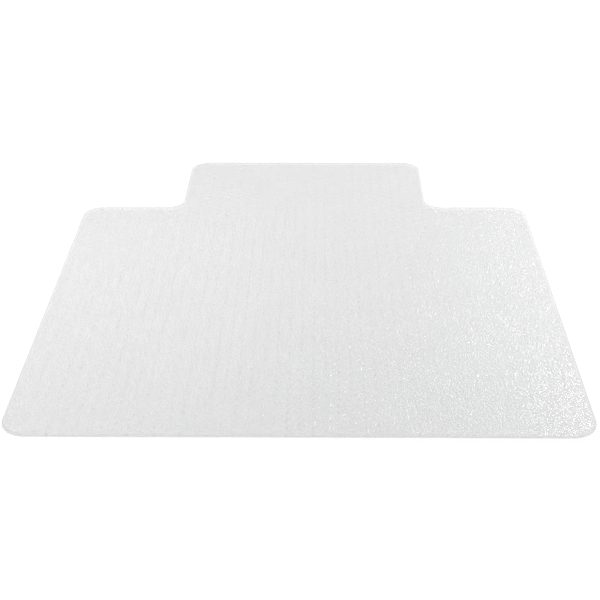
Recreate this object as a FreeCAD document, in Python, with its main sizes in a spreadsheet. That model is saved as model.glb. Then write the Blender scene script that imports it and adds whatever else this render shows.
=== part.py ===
"""Lipped carpet chair mat: one clear vinyl sheet with a bevelled edge, and the gripper studs on its underside.

Row frame: millimetres, +Z up, +Y towards the lip (the end that goes under the desk), +X to the right seen from the seat.
The origin is on the floor plane (the plane of the stud tips), at the centre of the mat's overall footprint.
The sheet lies flat on the studs, so its underside is one stud length above the floor plane.
"""
import FreeCAD, Part
import Sketcher
import math
import os

V = FreeCAD.Vector
doc = FreeCAD.newDocument("ChairMat")

# ---------------------------------------------------------------- driving dimensions (mm)
DIMS = [
    ("mat_width", 1143.0, "overall width of the main panel, 45 in"),
    ("panel_depth", 1041.4, "front edge to the shoulders, 41 in"),
    ("lip_width", 635.0, "width of the lip, 25 in"),
    ("lip_length", 304.8, "shoulders to the end of the lip, 12 in"),
    ("rad_front", 55.0, "corner radius at the front corners"),
    ("rad_rear", 48.0, "corner radius at the shoulder corners"),
    ("rad_lip", 53.0, "corner radius at the lip's end"),
    ("rad_inner", 44.0, "concave radius where the lip meets the shoulders"),
    ("sheet_thk", 3.2, "thickness of the sheet"),
    ("bevel_run", 5.0, "width of the bevel on the top edge, measured on the top face"),
    ("bevel_drop", 1.0, "height of the bevel, measured down the edge"),
    ("stud_len", 4.8, "length of a gripper stud below the sheet"),
    ("stud_base_dia", 3.6, "stud diameter where it leaves the sheet"),
    ("stud_tip_dia", 1.3, "stud diameter at its blunt tip"),
    ("pitch_across", 25.3, "distance between stud columns across the mat"),
    ("pitch_along", 25.0, "distance between studs along one column"),
    ("first_row", 9.2, "front edge to the first stud row"),
    ("pattern_shift", 3.7, "stud grid off the centre line, because the sheet is cut out of a longer pattern"),
    ("edge_land", 4.5, "least distance from a stud's centre to the sheet's edge"),
    ("front_field", 520.0, "depth of the front stud field"),
]
sheet = doc.addObject("Spreadsheet::Sheet", "Dims")
for row, (alias, value, note) in enumerate(DIMS, start=1):
    sheet.set("A%d" % row, alias)
    sheet.set("B%d" % row, repr(value))
    sheet.set("C%d" % row, note)
    sheet.setAlias("B%d" % row, alias)
doc.recompute()


def dim(alias):
    return float(getattr(sheet, alias))


def plane_of(body, role):
    return [f for f in body.Origin.OriginFeatures if f.Role == role][0]


# ---------------------------------------------------------------- the sheet
W, D, LW, LL = dim("mat_width"), dim("panel_depth"), dim("lip_width"), dim("lip_length")
RF, RR, RL, RI = dim("rad_front"), dim("rad_rear"), dim("rad_lip"), dim("rad_inner")
h, l = W / 2.0, LW / 2.0
yf = -(D + LL) / 2.0          # front edge
ys = yf + D                   # shoulders
yl = ys + LL                  # end of the lip

body = doc.addObject("PartDesign::Body", "MatSheet")
body.Label = "mat_sheet"
sk = body.newObject("Sketcher::SketchObject", "OutlineSketch")
sk.AttachmentSupport = [(plane_of(body, "XY_Plane"), "")]
sk.MapMode = "FlatFace"
sk.setExpression(".AttachmentOffset.Base.z", "Dims.stud_len")


def line(a, b):
    return sk.addGeometry(Part.LineSegment(V(a[0], a[1], 0), V(b[0], b[1], 0)), False)


def arc(cx, cy, r, a0, a1):
    c = Part.Circle(V(cx, cy, 0), V(0, 0, 1), r)
    return sk.addGeometry(Part.ArcOfCircle(c, math.radians(a0), math.radians(a1)), False)


g_front = line((-h + RF, yf), (h - RF, yf))
g_fr = arc(h - RF, yf + RF, RF, 270, 360)
g_right = line((h, yf + RF), (h, ys - RR))
g_rr = arc(h - RR, ys - RR, RR, 0, 90)
g_shr = line((h - RR, ys), (l + RI, ys))
g_ir = arc(l + RI, ys + RI, RI, 180, 270)
g_lipr = line((l, ys + RI), (l, yl - RL))
g_lr = arc(l - RL, yl - RL, RL, 0, 90)
g_end = line((l - RL, yl), (-l + RL, yl))
g_ll = arc(-l + RL, yl - RL, RL, 90, 180)
g_lipl = line((-l, yl - RL), (-l, ys + RI))
g_il = arc(-l - RI, ys + RI, RI, 270, 360)
g_shl = line((-l - RI, ys), (-h + RR, ys))
g_rl = arc(-h + RR, ys - RR, RR, 90, 180)
g_left = line((-h, ys - RR), (-h, yf + RF))
g_fl = arc(-h + RF, yf + RF, RF, 180, 270)

C = Sketcher.Constraint
# (line end -> arc end) all the way round; 1 is a start point and 2 an end point
for a, pa, b, pb in (
    (g_front, 2, g_fr, 1), (g_fr, 2, g_right, 1),
    (g_right, 2, g_rr, 1), (g_rr, 2, g_shr, 1),
    (g_shr, 2, g_ir, 2), (g_ir, 1, g_lipr, 1),
    (g_lipr, 2, g_lr, 1), (g_lr, 2, g_end, 1),
    (g_end, 2, g_ll, 1), (g_ll, 2, g_lipl, 1),
    (g_lipl, 2, g_il, 2), (g_il, 1, g_shl, 1),
    (g_shl, 2, g_rl, 1), (g_rl, 2, g_left, 1),
    (g_left, 2, g_fl, 1), (g_fl, 2, g_front, 1),
):
    sk.addConstraint(C("Tangent", a, pa, b, pb))
for g in (g_front, g_shr, g_end, g_shl):
    sk.addConstraint(C("Horizontal", g))
for g in (g_right, g_lipr, g_lipl, g_left):
    sk.addConstraint(C("Vertical", g))


def driven(constraint, name, expression):
    i = sk.addConstraint(constraint)
    sk.renameConstraint(i, name)
    sk.setExpression("Constraints." + name, expression)


for g, name, alias, r in (
    (g_fr, "r_fr", "rad_front", RF), (g_fl, "r_fl", "rad_front", RF),
    (g_rr, "r_rr", "rad_rear", RR), (g_rl, "r_rl", "rad_rear", RR),
    (g_lr, "r_lr", "rad_lip", RL), (g_ll, "r_ll", "rad_lip", RL),
    (g_ir, "r_ir", "rad_inner", RI), (g_il, "r_il", "rad_inner", RI),
):
    driven(C("Radius", g, r), name, "Dims." + alias)
driven(C("DistanceX", -1, 1, g_right, 1, h), "x_right", "Dims.mat_width / 2")
driven(C("DistanceX", g_left, 1, -1, 1, h), "x_left", "Dims.mat_width / 2")
driven(C("DistanceX", -1, 1, g_lipr, 1, l), "x_lip_right", "Dims.lip_width / 2")
driven(C("DistanceX", g_lipl, 1, -1, 1, l), "x_lip_left", "Dims.lip_width / 2")
driven(C("DistanceY", g_front, 1, -1, 1, -yf), "y_front", "(Dims.panel_depth + Dims.lip_length) / 2")
driven(C("DistanceY", -1, 1, g_shr, 1, ys), "y_shoulder_right", "(Dims.panel_depth - Dims.lip_length) / 2")
driven(C("DistanceY", -1, 1, g_shl, 1, ys), "y_shoulder_left", "(Dims.panel_depth - Dims.lip_length) / 2")
driven(C("DistanceY", -1, 1, g_end, 1, yl), "y_lip_end", "(Dims.panel_depth + Dims.lip_length) / 2")

pad = body.newObject("PartDesign::Pad", "SheetPad")
pad.Profile = sk
pad.Type = 0
pad.setExpression("Length", "Dims.sheet_thk")
doc.recompute()

top_z = dim("stud_len") + dim("sheet_thk")


def face_at(shape, z):
    """Name of the flat face whose centre of mass is at height z."""
    best = min(
        (i for i, f in enumerate(shape.Faces) if f.normalAt(0, 0).cross(V(0, 0, 1)).Length < 1e-6),
        key=lambda i: abs(shape.Faces[i].CenterOfMass.z - z),
    )
    return "Face%d" % (best + 1)


bevel = body.newObject("PartDesign::Chamfer", "TopBevel")
bevel.Base = (pad, [face_at(pad.Shape, top_z)])
bevel.ChamferType = "Two distances"
bevel.setExpression("Size", "Dims.bevel_run")
bevel.setExpression("Size2", "Dims.bevel_drop")
body.Tip = bevel
doc.recompute()


def top_inset(shape):
    """How far the top face's boundary stands in from the sheet's side."""
    f = shape.Faces[int(face_at(shape, top_z)[4:]) - 1]
    return h - f.BoundBox.XMax


if abs(top_inset(body.Shape) - dim("bevel_run")) > 0.01:
    bevel.FlipDirection = not bevel.FlipDirection
    doc.recompute()
if abs(top_inset(body.Shape) - dim("bevel_run")) > 0.01:
    raise RuntimeError("the bevel is not %.2f mm wide" % dim("bevel_run"))

# ---------------------------------------------------------------- one gripper stud, the pattern's master
stud_body = doc.addObject("PartDesign::Body", "StudMaster")
stud_body.Label = "stud_master"
ss = stud_body.newObject("Sketcher::SketchObject", "StudProfile")
ss.AttachmentSupport = [(plane_of(stud_body, "XZ_Plane"), "")]
ss.MapMode = "FlatFace"
L0, rb, rt = dim("stud_len"), dim("stud_base_dia") / 2.0, dim("stud_tip_dia") / 2.0
pts = [V(0, 0, 0), V(rt, 0, 0), V(rb, L0, 0), V(0, L0, 0)]
sg = [ss.addGeometry(Part.LineSegment(pts[i], pts[(i + 1) % 4]), False) for i in range(4)]
for i in range(4):
    ss.addConstraint(C("Coincident", sg[i], 2, sg[(i + 1) % 4], 1))
ss.addConstraint(C("Horizontal", sg[0]))
ss.addConstraint(C("Horizontal", sg[2]))
ss.addConstraint(C("Coincident", sg[0], 1, -1, 1))
ss.addConstraint(C("PointOnObject", sg[2], 2, -2))
for cons, name, expression in (
    (C("DistanceX", sg[0], 1, sg[0], 2, rt), "tip_radius", "Dims.stud_tip_dia / 2"),
    (C("DistanceX", sg[2], 2, sg[2], 1, rb), "base_radius", "Dims.stud_base_dia / 2"),
    (C("DistanceY", sg[0], 1, sg[2], 2, L0), "length", "Dims.stud_len"),
):
    i = ss.addConstraint(cons)
    ss.renameConstraint(i, name)
    ss.setExpression("Constraints." + name, expression)
rev = stud_body.newObject("PartDesign::Revolution", "StudRevolution")
rev.Profile = ss
rev.ReferenceAxis = (ss, ["V_Axis"])
rev.Angle = 360
stud_body.Tip = rev
doc.recompute()
stud = stud_body.Shape.Solids[0]
if abs(stud.BoundBox.ZMin) > 1e-6 or abs(stud.BoundBox.ZMax - L0) > 1e-6:
    raise RuntimeError("the stud does not stand on the floor plane")

# ---------------------------------------------------------------- where the studs are
# A centred rectangular grid: columns pitch_across apart, studs pitch_along apart in a column, and every second column
# half a pitch further back. The sheet is cut out of the pattern, so the grid runs right up to the edge.
land = dim("edge_land")


def edge_distance(x, y):
    """Distance from a point inside the outline to the nearest edge, negative outside."""
    x = abs(x)

    def rounded_box(px, py, cx, cy, hx, hy, r):
        qx, qy = abs(px - cx) - (hx - r), abs(py - cy) - (hy - r)
        return r - math.hypot(max(qx, 0), max(qy, 0)) - min(max(qx, qy), 0)

    y0 = (yf + ys) / 2.0
    r = RF if y < y0 else RR
    panel = rounded_box(x, y, 0, y0, h, D / 2.0, r)
    lip = rounded_box(x, y, 0, (y0 + yl) / 2.0, l, (yl - y0) / 2.0, RL)
    d = max(panel, lip)
    if l - land < x < l + RI and ys - land < y < ys + RI:   # the concave corner adds material
        d = max(d, math.hypot(x - (l + RI), y - (ys + RI)) - RI)
    return d


ax, ay = dim("pitch_across"), dim("pitch_along")
sites = []
for i in range(-int(h / ax) - 1, int(h / ax) + 2):
    for j in range(-1, int((D + LL) / ay) + 2):
        x = dim("pattern_shift") + i * ax
        y = yf + dim("first_row") + j * ay + (0.0 if i % 2 else ay / 2.0)
        if edge_distance(x, y) >= land:
            sites.append((x, y))


def nearest(x, y):
    return min(sites, key=lambda s: (s[0] - x) ** 2 + (s[1] - y) ** 2)


# The studs nearest the corners and along each edge, which carry the mat on a hard floor.
targets = [(0, yf), (0, yl)]
for s in (-1, 1):
    targets += [(s * h, yf), (s * h / 2, yf), (s * h, (yf + ys) / 2), (s * h, ys), (s * l, ys + 20), (s * l, yl)]
corner = sorted({nearest(x, y) for x, y in targets})
rest = [s for s in sites if s not in set(corner)]
split = yf + dim("front_field")
fields = {
    "edge_and_corner_studs": corner,
    "panel_studs_front": [s for s in rest if s[1] < split],
    "panel_studs_rear": [s for s in rest if split <= s[1] < ys],
    "lip_studs": [s for s in rest if s[1] >= ys],
}
nodes = [body]
for label, where in fields.items():
    f = doc.addObject("Part::Feature", label)
    f.Label = label
    copies = []
    for x, y in where:
        c = stud.copy()
        c.translate(V(x, y, 0))
        copies.append(c)
    f.Shape = Part.makeCompound(copies)
    f.Placement = FreeCAD.Placement()
    nodes.append(f)
doc.recompute()

# ---------------------------------------------------------------- checks, then one STEP file a node
for o in doc.Objects:
    if "Invalid" in o.State or "Error" in o.State:
        raise RuntimeError("%s failed: %s" % (o.Label, o.State))
for o in nodes:
    if o.Shape.isNull() or not o.Shape.isValid() or not o.Shape.Solids:
        raise RuntimeError("%s has no valid solid" % o.Label)
area = body.Shape.Faces[int(face_at(body.Shape, L0)[4:]) - 1].Area
print("sheet: volume %.0f mm3, underside %.0f mm2, top inset %.2f mm" % (body.Shape.Volume, area, top_inset(body.Shape)))
print("studs:", {o.Label: len(o.Shape.Solids) for o in nodes[1:]}, "in all", len(sites))

os.makedirs("parts", exist_ok=True)
for o in nodes:
    o.Shape.exportStep(os.path.join("parts", o.Label + ".step"))
    print("wrote", o.Label, "%.1f MB" % (os.path.getsize(os.path.join("parts", o.Label + ".step")) / 1e6))
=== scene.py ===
import math

import bpy
import numpy as np
from mathutils import Matrix, Vector
from mathutils.geometry import delaunay_2d_cdt


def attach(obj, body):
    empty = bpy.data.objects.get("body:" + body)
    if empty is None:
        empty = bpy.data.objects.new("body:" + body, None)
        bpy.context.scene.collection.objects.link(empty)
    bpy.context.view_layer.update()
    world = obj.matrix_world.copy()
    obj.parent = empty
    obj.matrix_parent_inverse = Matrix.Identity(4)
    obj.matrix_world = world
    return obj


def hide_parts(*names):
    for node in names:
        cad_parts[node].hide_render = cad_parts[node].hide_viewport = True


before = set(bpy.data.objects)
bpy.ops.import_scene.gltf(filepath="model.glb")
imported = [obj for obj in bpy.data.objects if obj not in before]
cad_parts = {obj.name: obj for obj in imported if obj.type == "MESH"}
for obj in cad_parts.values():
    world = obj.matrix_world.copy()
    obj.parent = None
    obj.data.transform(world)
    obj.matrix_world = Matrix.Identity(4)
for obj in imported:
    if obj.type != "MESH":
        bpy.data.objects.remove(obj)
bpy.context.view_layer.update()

MM = 0.001
# ------------------------------------------------------------------ sizes, in millimetres, as in the CAD source
W, D, LW, LL = 1143.0, 1041.4, 635.0, 304.8
RF, RR, RL, RI = 55.0, 48.0, 53.0, 44.0
THK, RUN, DROP = 3.2, 5.0, 1.0
STUD, RB, RT = 4.8, 1.8, 0.65
AX, AY, ROW1, SHIFT, LAND, FRONT = 25.3, 25.0, 9.2, 3.7, 4.5, 520.0
H, L = W / 2, LW / 2
YF = -(D + LL) / 2
YS = YF + D
YL = YS + LL
Z0 = STUD                 # underside of the sheet
ZT = STUD + THK           # top of the sheet

cam_px = 1244.46          # focal length in pixels of a 600 pixel frame


# ------------------------------------------------------------------ the outline, inset by d
def swing(cx, cy, r, a0, a1, n):
    return [(cx + r * math.cos(math.radians(a0 + (a1 - a0) * k / n)), cy + r * math.sin(math.radians(a0 + (a1 - a0) * k / n))) for k in range(n)]


ARC = 14
STEP = 12.5


def ring(d):
    """The outline d inside the sheet's edge, anticlockwise, with the same number of points for every d."""
    h, l = H - d, L - d
    yf, ys, yl = YF + d, YS - d, YL - d
    rf, rr, rl, ri = RF - d, RR - d, RL - d, RI + d
    # straight runs are cut by the nominal outline so that rings match point for point
    def run(p, q, P, Q):
        n = max(1, int(round(math.hypot(Q[0] - P[0], Q[1] - P[1]) / STEP)))
        return [(p[0] + (q[0] - p[0]) * k / n, p[1] + (q[1] - p[1]) * k / n) for k in range(n)]

    out = []
    out += run((-h + rf, yf), (h - rf, yf), (-H + RF, YF), (H - RF, YF))
    out += swing(h - rf, yf + rf, rf, 270, 360, ARC)
    out += run((h, yf + rf), (h, ys - rr), (H, YF + RF), (H, YS - RR))
    out += swing(h - rr, ys - rr, rr, 0, 90, ARC)
    out += run((h - rr, ys), (l + ri, ys), (H - RR, YS), (L + RI, YS))
    out += swing(l + ri, ys + ri, ri, 270, 180, ARC)
    out += run((l, ys + ri), (l, yl - rl), (L, YS + RI), (L, YL - RL))
    out += swing(l - rl, yl - rl, rl, 0, 90, ARC)
    out += run((l - rl, yl), (-l + rl, yl), (L - RL, YL), (-L + RL, YL))
    out += swing(-l + rl, yl - rl, rl, 90, 180, ARC)
    out += run((-l, yl - rl), (-l, ys + ri), (-L, YL - RL), (-L, YS + RI))
    out += swing(-l - ri, ys + ri, ri, 360, 270, ARC)
    out += run((-l - ri, ys), (-h + rr, ys), (-L - RI, YS), (-H + RR, YS))
    out += swing(-h + rr, ys - rr, rr, 90, 180, ARC)
    out += run((-h, ys - rr), (-h, yf + rf), (-H, YS - RR), (-H, YF + RF))
    out += swing(-h + rf, yf + rf, rf, 180, 270, ARC)
    return np.array(out)


def edge_distance(x, y):
    """Distance inside the outline to its nearest edge, negative outside."""
    x = abs(x)

    def rounded_box(px, py, cx, cy, hx, hy, r):
        qx, qy = abs(px - cx) - (hx - r), abs(py - cy) - (hy - r)
        return r - math.hypot(max(qx, 0), max(qy, 0)) - min(max(qx, qy), 0)

    y0 = (YF + YS) / 2
    panel = rounded_box(x, y, 0, y0, H, D / 2, RF if y < y0 else RR)
    lip = rounded_box(x, y, 0, (y0 + YL) / 2, L, (YL - y0) / 2, RL)
    d = max(panel, lip)
    if L - 60 < x < L + RI and YS - 60 < y < YS + RI:
        d = max(d, math.hypot(x - (L + RI), y - (YS + RI)) - RI)
    return d


sites = []
for i in range(-int(H / AX) - 1, int(H / AX) + 2):
    for j in range(-1, int((D + LL) / AY) + 2):
        x = SHIFT + i * AX
        y = YF + ROW1 + j * AY + (0.0 if i % 2 else AY / 2)
        if edge_distance(x, y) >= LAND:
            sites.append((x, y))


def nearest(x, y):
    return min(sites, key=lambda s: (s[0] - x) ** 2 + (s[1] - y) ** 2)


targets = [(0, YF), (0, YL)]
for s in (-1, 1):
    targets += [(s * H, YF), (s * H / 2, YF), (s * H, (YF + YS) / 2), (s * H, YS), (s * L, YS + 20), (s * L, YL)]
corner = sorted({nearest(x, y) for x, y in targets})
rest = [s for s in sites if s not in set(corner)]
fields = {
    "edge_and_corner_studs": corner,
    "panel_studs_front": [s for s in rest if s[1] < YF + FRONT],
    "panel_studs_rear": [s for s in rest if YF + FRONT <= s[1] < YS],
    "lip_studs": [s for s in rest if s[1] >= YS],
}

# ------------------------------------------------------------------ the sheet doesn't lie quite flat
WAVES = [  # amplitude mm, wavelength mm, direction degrees, phase
    (0.10, 410.0, 17.0, 0.6),
    (0.08, 290.0, 74.0, 2.1),
    (0.055, 190.0, 128.0, 4.0),
    (0.035, 137.0, 41.0, 1.3),
]


def wave(x, y):
    """Height and slopes of the sheet's slight waviness at x, y; never below zero."""
    z = zx = zy = 0.0
    for a, w, t, p in WAVES:
        k = 2 * math.pi / w
        c, s = math.cos(math.radians(t)), math.sin(math.radians(t))
        ph = k * (x * c + y * s) + p
        z = z + a * (1 + np.sin(ph))
        zx = zx + a * k * c * np.cos(ph)
        zy = zy + a * k * s * np.cos(ph)
    return z, zx, zy


class Builder:
    def __init__(self):
        self.co, self.no, self.faces, self.slots, self.spot = [], [], [], [], []

    def add(self, xs, ys, zs, nx, ny, nz, spot=0.0):
        """Adds points with their normals and returns the first one's number. spot is how much of a stud's root is under them."""
        first = sum(len(c) for c in self.co)
        xs, ys, zs, nx, ny, nz = np.broadcast_arrays(*[np.asarray(v, float) for v in (xs, ys, zs, nx, ny, nz)])
        w, wx, wy = wave(xs, ys)
        n = np.stack([nx - wx * nz, ny - wy * nz, nz], -1)
        n /= np.linalg.norm(n, axis=-1, keepdims=True)
        self.co.append(np.stack([xs, ys, zs + w], -1).reshape(-1, 3))
        self.no.append(n.reshape(-1, 3))
        self.spot.append(np.full(self.no[-1].shape[0], float(spot)))
        return first

    def mesh(self, name, materials):
        co, no = np.concatenate(self.co) * MM, np.concatenate(self.no)
        me = bpy.data.meshes.new(name)
        me.from_pydata(co.tolist(), [], self.faces)
        me.materials.clear()
        for m in materials:
            me.materials.append(m)
        me.polygons.foreach_set("material_index", self.slots)
        me.polygons.foreach_set("use_smooth", [True] * len(self.faces))
        me.update()
        root = me.attributes.new("stud_root", "FLOAT", "POINT")
        root.data.foreach_set("value", np.concatenate(self.spot).astype(np.float32))
        me.normals_split_custom_set_from_vertices(no.tolist())
        o = bpy.data.objects.new(name, me)
        bpy.context.scene.collection.objects.link(o)
        return o


# ------------------------------------------------------------------ materials
def nodes_of(name):
    m = bpy.data.materials.new(name)
    m.use_nodes = True
    m.node_tree.nodes.clear()
    return m, m.node_tree.nodes, m.node_tree.links


def math_node(N, K, op, a, b=None, clamp=False):
    n = N.new("ShaderNodeMath")
    n.operation = op
    n.use_clamp = clamp
    for i, v in enumerate((a, b)):
        if v is None:
            continue
        if isinstance(v, (int, float)):
            n.inputs[i].default_value = v
        else:
            K.new(v, n.inputs[i])
    return n.outputs[0]


def ramp(N, K, fac, stops):
    n = N.new("ShaderNodeValToRGB")
    cr = n.color_ramp
    while len(cr.elements) < len(stops):
        cr.elements.new(0.5)
    for e, (p, c) in zip(cr.elements, stops):
        e.position = p
        e.color = (c[0], c[1], c[2], 1) if not isinstance(c, (int, float)) else (c, c, c, 1)
    K.new(fac, n.inputs[0])
    return n.outputs[0]


def noise(N, K, vec, scale, detail=2.0, rough=0.5):
    n = N.new("ShaderNodeTexNoise")
    n.inputs["Scale"].default_value = scale
    n.inputs["Detail"].default_value = detail
    n.inputs["Roughness"].default_value = rough
    K.new(vec, n.inputs["Vector"])
    return n.outputs["Fac"]


PAINTED_DOT_GREY = 0.54               # grey painted over a stud: a dot of painted shade where the sink mark loses the glare
DULL = 0.58               # and how much rougher


def vinyl(name, low, high, see, roughness, pebble, speckle, mottle, shine=0.5):
    """Clear vinyl. low and high are the darkest and lightest grey, see is how much each surface lets through."""
    m, N, K = nodes_of(name)
    tc = N.new("ShaderNodeTexCoord").outputs["Object"]
    # grain: small rounded cells, uneven in size
    v1 = N.new("ShaderNodeTexVoronoi")
    v1.feature = "SMOOTH_F1"
    v1.inputs["Scale"].default_value = 430.0
    v1.inputs["Smoothness"].default_value = 0.35
    K.new(tc, v1.inputs["Vector"])
    fine = noise(N, K, tc, 900.0, 3.0, 0.6)
    mid = noise(N, K, tc, 300.0, 1.0, 0.4)
    wide = noise(N, K, tc, 9.0, 3.0, 0.5)
    cloud = noise(N, K, tc, 2.3, 2.0, 0.5)

    # colour: cloudy translucency at hand width, a fine speckle where the grain focuses light
    t = math_node(N, K, "MULTIPLY", wide, 0.5)
    t = math_node(N, K, "ADD", t, math_node(N, K, "MULTIPLY", cloud, 0.5))
    t = math_node(N, K, "MULTIPLY", math_node(N, K, "SUBTRACT", t, 0.5), mottle)
    s = math_node(N, K, "MULTIPLY", math_node(N, K, "SUBTRACT", v1.outputs["Distance"], 0.42), -speckle)
    s = math_node(N, K, "ADD", s, math_node(N, K, "MULTIPLY", math_node(N, K, "SUBTRACT", mid, 0.5), speckle * 1.6))
    fac = math_node(N, K, "ADD", math_node(N, K, "ADD", t, s), 0.5, clamp=True)
    col = ramp(N, K, fac, [(0.0, low), (1.0, high)])
    # over a stud's root the vinyl is three times as thick; there it is painted a flat grey, darker than the sheet's
    # mean, a dot of painted shade where the sink mark loses the glare
    root = N.new("ShaderNodeAttribute")
    root.attribute_name = "stud_root"
    painted_dot_shade = N.new("ShaderNodeMix")
    painted_dot_shade.data_type = "RGBA"
    painted_dot_shade.inputs["B"].default_value = (PAINTED_DOT_GREY, PAINTED_DOT_GREY, PAINTED_DOT_GREY, 1)
    K.new(root.outputs["Fac"], painted_dot_shade.inputs["Factor"])
    K.new(col, painted_dot_shade.inputs["A"])
    col = painted_dot_shade.outputs["Result"]

    p = N.new("ShaderNodeBsdfPrincipled")
    K.new(col, p.inputs["Base Color"])
    r = math_node(N, K, "MULTIPLY", math_node(N, K, "SUBTRACT", mid, 0.5), 0.22)
    r = math_node(N, K, "ADD", r, roughness)
    r = math_node(N, K, "ADD", r, math_node(N, K, "MULTIPLY", root.outputs["Fac"], DULL))
    K.new(r, p.inputs["Roughness"])
    p.inputs["IOR"].default_value = 1.53
    p.inputs["Specular IOR Level"].default_value = shine

    def bump(height, strength, distance, below=None, invert=False):
        n = N.new("ShaderNodeBump")
        n.inputs["Strength"].default_value = strength
        n.inputs["Distance"].default_value = distance
        n.invert = invert
        K.new(height, n.inputs["Height"])
        if below is not None:
            K.new(below, n.inputs["Normal"])
        return n.outputs["Normal"]

    rough = bump(v1.outputs["Distance"], pebble, 0.00025, invert=True)
    rough = bump(mid, pebble, 0.0017, rough)
    rough = bump(fine, pebble * 0.4, 0.0002, rough)
    K.new(rough, p.inputs["Normal"])

    tr = N.new("ShaderNodeBsdfTransparent")
    tr.inputs["Color"].default_value = (0.985, 0.987, 0.987, 1)
    mix = N.new("ShaderNodeMixShader")
    mix.inputs["Fac"].default_value = 1.0 - see
    K.new(tr.outputs[0], mix.inputs[1])
    K.new(p.outputs[0], mix.inputs[2])
    out = N.new("ShaderNodeOutputMaterial")
    K.new(mix.outputs[0], out.inputs["Surface"])
    return m


g = lambda v: (v, v, v)
top_mat = vinyl("vinyl_pebbled_top", g(0.52), g(0.68), 0.49, 0.17, 0.95, 0.15, 0.35)
under_mat = vinyl("vinyl_smooth_underside", g(0.60), g(0.74), 0.92, 0.22, 0.12, 0.2, 0.3)
bevel_mat = vinyl("vinyl_trimmed_bevel", g(0.52), g(0.66), 0.45, 0.50, 0.80, 0.2, 0.3, 0.25)
edge_mat = vinyl("vinyl_cut_edge", g(0.60), g(0.76), 0.50, 0.42, 0.35, 0.4, 0.4)
stud_mat = vinyl("vinyl_stud", g(0.82), g(0.94), 0.84, 0.20, 0.15, 0.3, 0.3)

# ------------------------------------------------------------------ the sheet
PROFILE = [  # inset, height, normal outwards and up, material slot of the strip that starts here; the bevel shades softly, as worn vinyl does
    (0.90, Z0, 0.0, -1.0, 1),
    (0.28, Z0 + 0.06, 0.35, -0.94, 2),
    (0.05, Z0 + 0.26, 0.93, -0.37, 2),
    (0.00, Z0 + 0.55, 1.0, 0.0, 2),
    (0.00, Z0 + 1.10, 1.0, 0.0, 2),
    (0.00, ZT - DROP - 0.42, 1.0, 0.0, 2),
    (0.06, ZT - DROP - 0.16, 0.90, 0.43, 2),
    (0.24, ZT - DROP + 0.02, 0.50, 0.866, 3),
    (0.62, ZT - DROP + 0.13, 0.12, 0.993, 3),
    (1.60, ZT - DROP + 0.33, 0.07, 0.9975, 3),
    (3.10, ZT - DROP + 0.63, 0.06, 0.998, 3),
    (4.20, ZT - 0.16, 0.05, 0.9987, 3),
    (5.20, ZT - 0.03, 0.02, 0.9998, 3),
    (6.30, ZT, 0.0, 1.0, 0),
]
R_D, DEPTH = 2.45, 0.15    # the sink mark over each stud
KEEP = 6.3 + R_D + 0.15    # sink marks stay off the bevel


def out_dir(d):
    """Unit vectors pointing out of the outline, at ring(d)'s points."""
    a, b = ring(d), ring(d + 0.5)
    v = a - b
    return v / np.linalg.norm(v, axis=1, keepdims=True)


B = Builder()
rings = []
for d, z, no, nu, slot in PROFILE:
    p, o = ring(d), out_dir(d)
    rings.append((B.add(p[:, 0], p[:, 1], z, o[:, 0] * no, o[:, 1] * no, nu), len(p), slot))
for (a, n, slot), (b, _, _) in zip(rings[:-1], rings[1:]):
    for k in range(n):
        q = (k + 1) % n
        B.faces.append((a + k, a + q, b + q, b + k))
        B.slots.append(slot)

marked = [s for s in sites if edge_distance(*s) >= KEEP]
TURN = 10
angle = np.arange(TURN) * 2 * math.pi / TURN
cells = [(x + AX / 2, y + AY / 4) for x, y in sites] + [(x + AX / 2, y - AY / 4) for x, y in sites]
cells = [c for c in cells if edge_distance(*c) > 16]


def sink(r):
    u = (r / R_D) ** 2
    return -DEPTH * (1 - u) ** 2, 4 * DEPTH * r / R_D ** 2 * (1 - u)


sx = np.array([s[0] for s in marked])[:, None]
sy = np.array([s[1] for s in marked])[:, None]
dimple = []
for f, spot in ((1.0, 0.0), (0.84, 0.85), (0.48, 1.0)):
    r = f * R_D
    z, slope = sink(r)
    dimple.append(B.add(sx + r * np.cos(angle), sy + r * np.sin(angle), ZT + z, -slope * np.cos(angle) + 0 * sx, -slope * np.sin(angle) + 0 * sx, 1.0, spot))
centre = B.add(sx[:, 0], sy[:, 0], ZT - DEPTH, 0, 0, 1.0, 1.0)
for k in range(len(marked)):
    for a, b in zip(dimple[:-1], dimple[1:]):
        for t in range(TURN):
            u = (t + 1) % TURN
            B.faces.append((a + k * TURN + t, a + k * TURN + u, b + k * TURN + u, b + k * TURN + t))
            B.slots.append(0)
    a = dimple[-1]
    for t in range(TURN):
        B.faces.append((a + k * TURN + t, a + k * TURN + (t + 1) % TURN, centre + k))
        B.slots.append(0)


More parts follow.
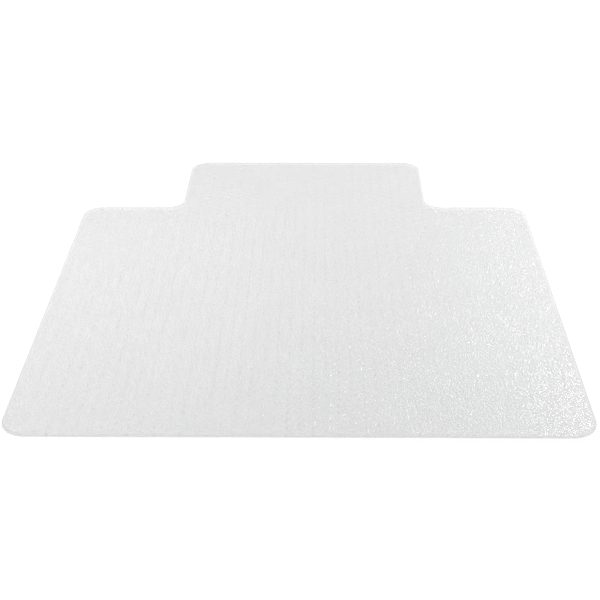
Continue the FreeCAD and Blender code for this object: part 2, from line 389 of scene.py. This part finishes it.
def fill(boundary, loops, loose, height, up, slot):
    """Triangulates the sheet's face between the boundary ring and the loops, through the loose points."""
    pts, ids, edges = [], [], []
    first, n = boundary
    every = np.concatenate(B.co)
    for k in range(n):
        pts.append(Vector(every[first + k][:2]))
        ids.append(first + k)
        edges.append((k, (k + 1) % n))
    for s in loops:
        m = len(pts)
        for t in range(TURN):
            pts.append(Vector(every[s + t][:2]))
            ids.append(s + t)
            edges.append((m + t, m + (t + 1) % TURN))
    if loose:
        xs, ys = np.array(loose).T
        s = B.add(xs, ys, height, 0, 0, up)
        for k, c in enumerate(loose):
            pts.append(Vector(c))
            ids.append(s + k)
    _, _, tris, orig, _, _ = delaunay_2d_cdt(pts, edges, [], 0, 1e-5)
    ids_of = [ids[o[0]] for o in orig]
    every = np.concatenate(B.co)
    tri = np.array([[ids_of[v] for v in f] for f in tris])
    mid = every[tri][:, :, :2].mean(1)
    spots = np.array(marked)
    for f, (x, y) in zip(tri.tolist(), mid):
        if loops:
            # inside a sink mark
            i = round((x - SHIFT) / AX)
            j = (y - (YF + ROW1 + (0.0 if i % 2 else AY / 2))) / AY
            cx, cy = SHIFT + i * AX, YF + ROW1 + round(j) * AY + (0.0 if i % 2 else AY / 2)
            if math.hypot(x - cx, y - cy) < R_D * 0.93 and edge_distance(cx, cy) >= KEEP:
                continue
        if edge_distance(x, y) < inset:
            continue
        a, b, c = every[f[0]], every[f[1]], every[f[2]]
        turn = (b[0] - a[0]) * (c[1] - a[1]) - (b[1] - a[1]) * (c[0] - a[0])
        if abs(turn) < 1e-9:
            continue
        if (turn > 0) != (up > 0):
            f = [f[0], f[2], f[1]]
        B.faces.append(tuple(f))
        B.slots.append(slot)


inset = PROFILE[-1][0] - 0.02
fill(rings[-1][:2], [dimple[0] + k * TURN for k in range(len(marked))], cells, ZT, 1.0, 0)
inset = PROFILE[0][0] - 0.02
fill(rings[0][:2], [], [s for s in sites if edge_distance(*s) > 9], Z0, -1.0, 1)
# the side strips were made looking outwards from below, so they're already the right way round
sheet = B.mesh("mat_sheet_vinyl", [top_mat, under_mat, edge_mat, bevel_mat])
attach(sheet, "root")
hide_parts("mat_sheet")

# ------------------------------------------------------------------ the studs
def stud_profile():
    """Radius, height, normal out and up, from inside the sheet to the blunt tip."""
    cone = lambda z: RT + (RB - RT) * z / STUD
    slope = (RB - RT) / STUD
    cn = 1 / math.hypot(1, slope)
    return [
        (2.75, Z0 + 0.25, 0.3, 0.95),
        (2.55, Z0 - 0.02, 0.35, -0.94),
        (2.10, Z0 - 0.22, 0.60, -0.80),
        (cone(4.1), 4.1, 0.93, -0.37),
        (cone(2.4), 2.4, cn, -slope * cn),
        (cone(0.5), 0.5, cn, -slope * cn),
        (cone(0.14) - 0.06, 0.14, 0.80, -0.60),
        (RT * 0.66, 0.0, 0.25, -0.97),
    ]


prof = stud_profile()
for node, where in fields.items():
    S = Builder()
    cx = np.array([s[0] for s in where])[:, None]
    cy = np.array([s[1] for s in where])[:, None]
    w, _, _ = wave(cx, cy)
    starts = []
    for r, z, no, nu in prof:
        starts.append(S.add(cx + r * np.cos(angle), cy + r * np.sin(angle), z, no * np.cos(angle) + 0 * cx, no * np.sin(angle) + 0 * cx, nu))
    top = S.add(cx[:, 0], cy[:, 0], Z0 + 0.3, 0, 0, 1.0)
    tip = S.add(cx[:, 0], cy[:, 0], 0.0, 0, 0, -1.0)
    # every point of one stud is lifted alike, so that the tip stays flat
    lift = np.concatenate([np.repeat(w, TURN, 1).reshape(-1)] * len(prof) + [w[:, 0]] * 2)
    allco = np.concatenate(S.co)
    allco[:, 2] -= wave(allco[:, 0], allco[:, 1])[0] - lift
    S.co = [allco]
    S.no = [np.concatenate(S.no)]
    for k in range(len(where)):
        for a, b in zip(starts[:-1], starts[1:]):
            for t in range(TURN):
                u = (t + 1) % TURN
                S.faces.append((a + k * TURN + t, b + k * TURN + t, b + k * TURN + u, a + k * TURN + u))
        for t in range(TURN):
            u = (t + 1) % TURN
            S.faces.append((starts[0] + k * TURN + t, starts[0] + k * TURN + u, top + k))
            S.faces.append((starts[-1] + k * TURN + u, starts[-1] + k * TURN + t, tip + k))
    S.slots = [0] * len(S.faces)
    o = S.mesh(node + "_vinyl", [stud_mat])
    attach(o, "root")
    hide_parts(node)

# ------------------------------------------------------------------ floor, light, camera
bpy.ops.mesh.primitive_plane_add(size=24, location=(0, 0, 0))
floor = bpy.context.object
floor.name = "studio_floor"
fm, N, K = nodes_of("studio_floor_white")
d = N.new("ShaderNodeBsdfDiffuse")
d.inputs["Color"].default_value = (0.38, 0.38, 0.38, 1)
e = N.new("ShaderNodeEmission")
# the sweep glows softly, and more so far from the lamps
span = N.new("ShaderNodeVectorMath")
span.operation = "LENGTH"
K.new(N.new("ShaderNodeTexCoord").outputs["Object"], span.inputs[0])
glow = N.new("ShaderNodeMapRange")
for k, v in (("From Min", 1.3), ("From Max", 5.0), ("To Min", 0.74), ("To Max", 1.02)):
    glow.inputs[k].default_value = v
K.new(span.outputs["Value"], glow.inputs["Value"])
K.new(glow.outputs["Result"], e.inputs["Strength"])
both = N.new("ShaderNodeAddShader")
K.new(d.outputs[0], both.inputs[0])
K.new(e.outputs[0], both.inputs[1])
o = N.new("ShaderNodeOutputMaterial")
K.new(both.outputs[0], o.inputs["Surface"])
floor.data.materials.append(fm)
fm.cycles.emission_sampling = "NONE"    # it covers half the sky: rays that bounce find it

world = bpy.data.worlds.new("studio")
bpy.context.scene.world = world
world.use_nodes = True
N, K = world.node_tree.nodes, world.node_tree.links
bg = N["Background"]
bg.inputs["Color"].default_value = (1, 1, 1, 1)
# the backdrop is white where it is seen, and lights the mat less than that
seen = N.new("ShaderNodeBackground")
seen.inputs["Color"].default_value = (1, 1, 1, 1)
seen.inputs["Strength"].default_value = 1.1
path = N.new("ShaderNodeLightPath")
blend = N.new("ShaderNodeMixShader")
K.new(path.outputs["Is Camera Ray"], blend.inputs[0])
K.new(bg.outputs[0], blend.inputs[1])
K.new(seen.outputs[0], blend.inputs[2])
K.new(blend.outputs[0], N["World Output"].inputs["Surface"])
bg.inputs["Strength"].default_value = 0.3
world.cycles.sampling_method = "NONE"


def area(name, loc, aim, size, power, size_y=None):
    l = bpy.data.lights.new(name, "AREA")
    l.shape = "RECTANGLE"
    l.size = size
    l.size_y = size_y or size
    l.energy = power
    l.color = (1, 1, 1)
    o = bpy.data.objects.new(name, l)
    o.location = loc
    o.rotation_euler = (Vector(aim) - Vector(loc)).to_track_quat("-Z", "Y").to_euler()
    bpy.context.scene.collection.objects.link(o)
    return o


def softbox(name, azimuth, elevation, distance, power, size):
    """A square softbox seen from the middle of the mat's footprint at that azimuth from +Y, elevation and distance."""
    a, e = math.radians(azimuth), math.radians(elevation)
    area(name, distance * Vector((math.sin(a) * math.cos(e), math.cos(a) * math.cos(e), math.sin(e))), (0, 0, 0), size, power)


softbox("softbox_left", -90, 47, 1.7, 12.2, 0.7)
softbox("softbox_right", 80, 30, 1.7, 7.9, 0.7)
softbox("softbox_back_left", -40, 25, 2.8, 7.0, 0.8)
softbox("softbox_back", -15, 38, 2.8, 7.9, 0.8)
softbox("softbox_front", 180, 15, 2.8, 12.0, 0.8)
softbox("spot_back_right", 35, 37, 2.8, 30.0, 0.18)

cam = bpy.data.cameras.new("camera")
cam.sensor_width = 36.0
cam.lens = cam_px / 600.0 * 36.0
cam.clip_end = 100
co = bpy.data.objects.new("camera", cam)
bpy.context.scene.collection.objects.link(co)
yaw, pitch, roll = math.radians(-1.038), math.radians(28.753), math.radians(-0.411)
fwd = Vector((math.sin(yaw) * math.cos(pitch), math.cos(yaw) * math.cos(pitch), -math.sin(pitch)))
right = Vector((math.cos(yaw), -math.sin(yaw), 0))
up = right.cross(fwd)
r2 = right * math.cos(roll) + up * math.sin(roll)
u2 = -right * math.sin(roll) + up * math.cos(roll)
co.matrix_world = Matrix((
    (r2.x, u2.x, -fwd.x, 41.46 * MM),
    (r2.y, u2.y, -fwd.y, -2605.01 * MM),
    (r2.z, u2.z, -fwd.z, 1361.91 * MM),
    (0, 0, 0, 1),
))
bpy.context.scene.camera = co
bpy.context.scene.view_settings.view_transform = "Standard"
bpy.context.scene.view_settings.look = "None"
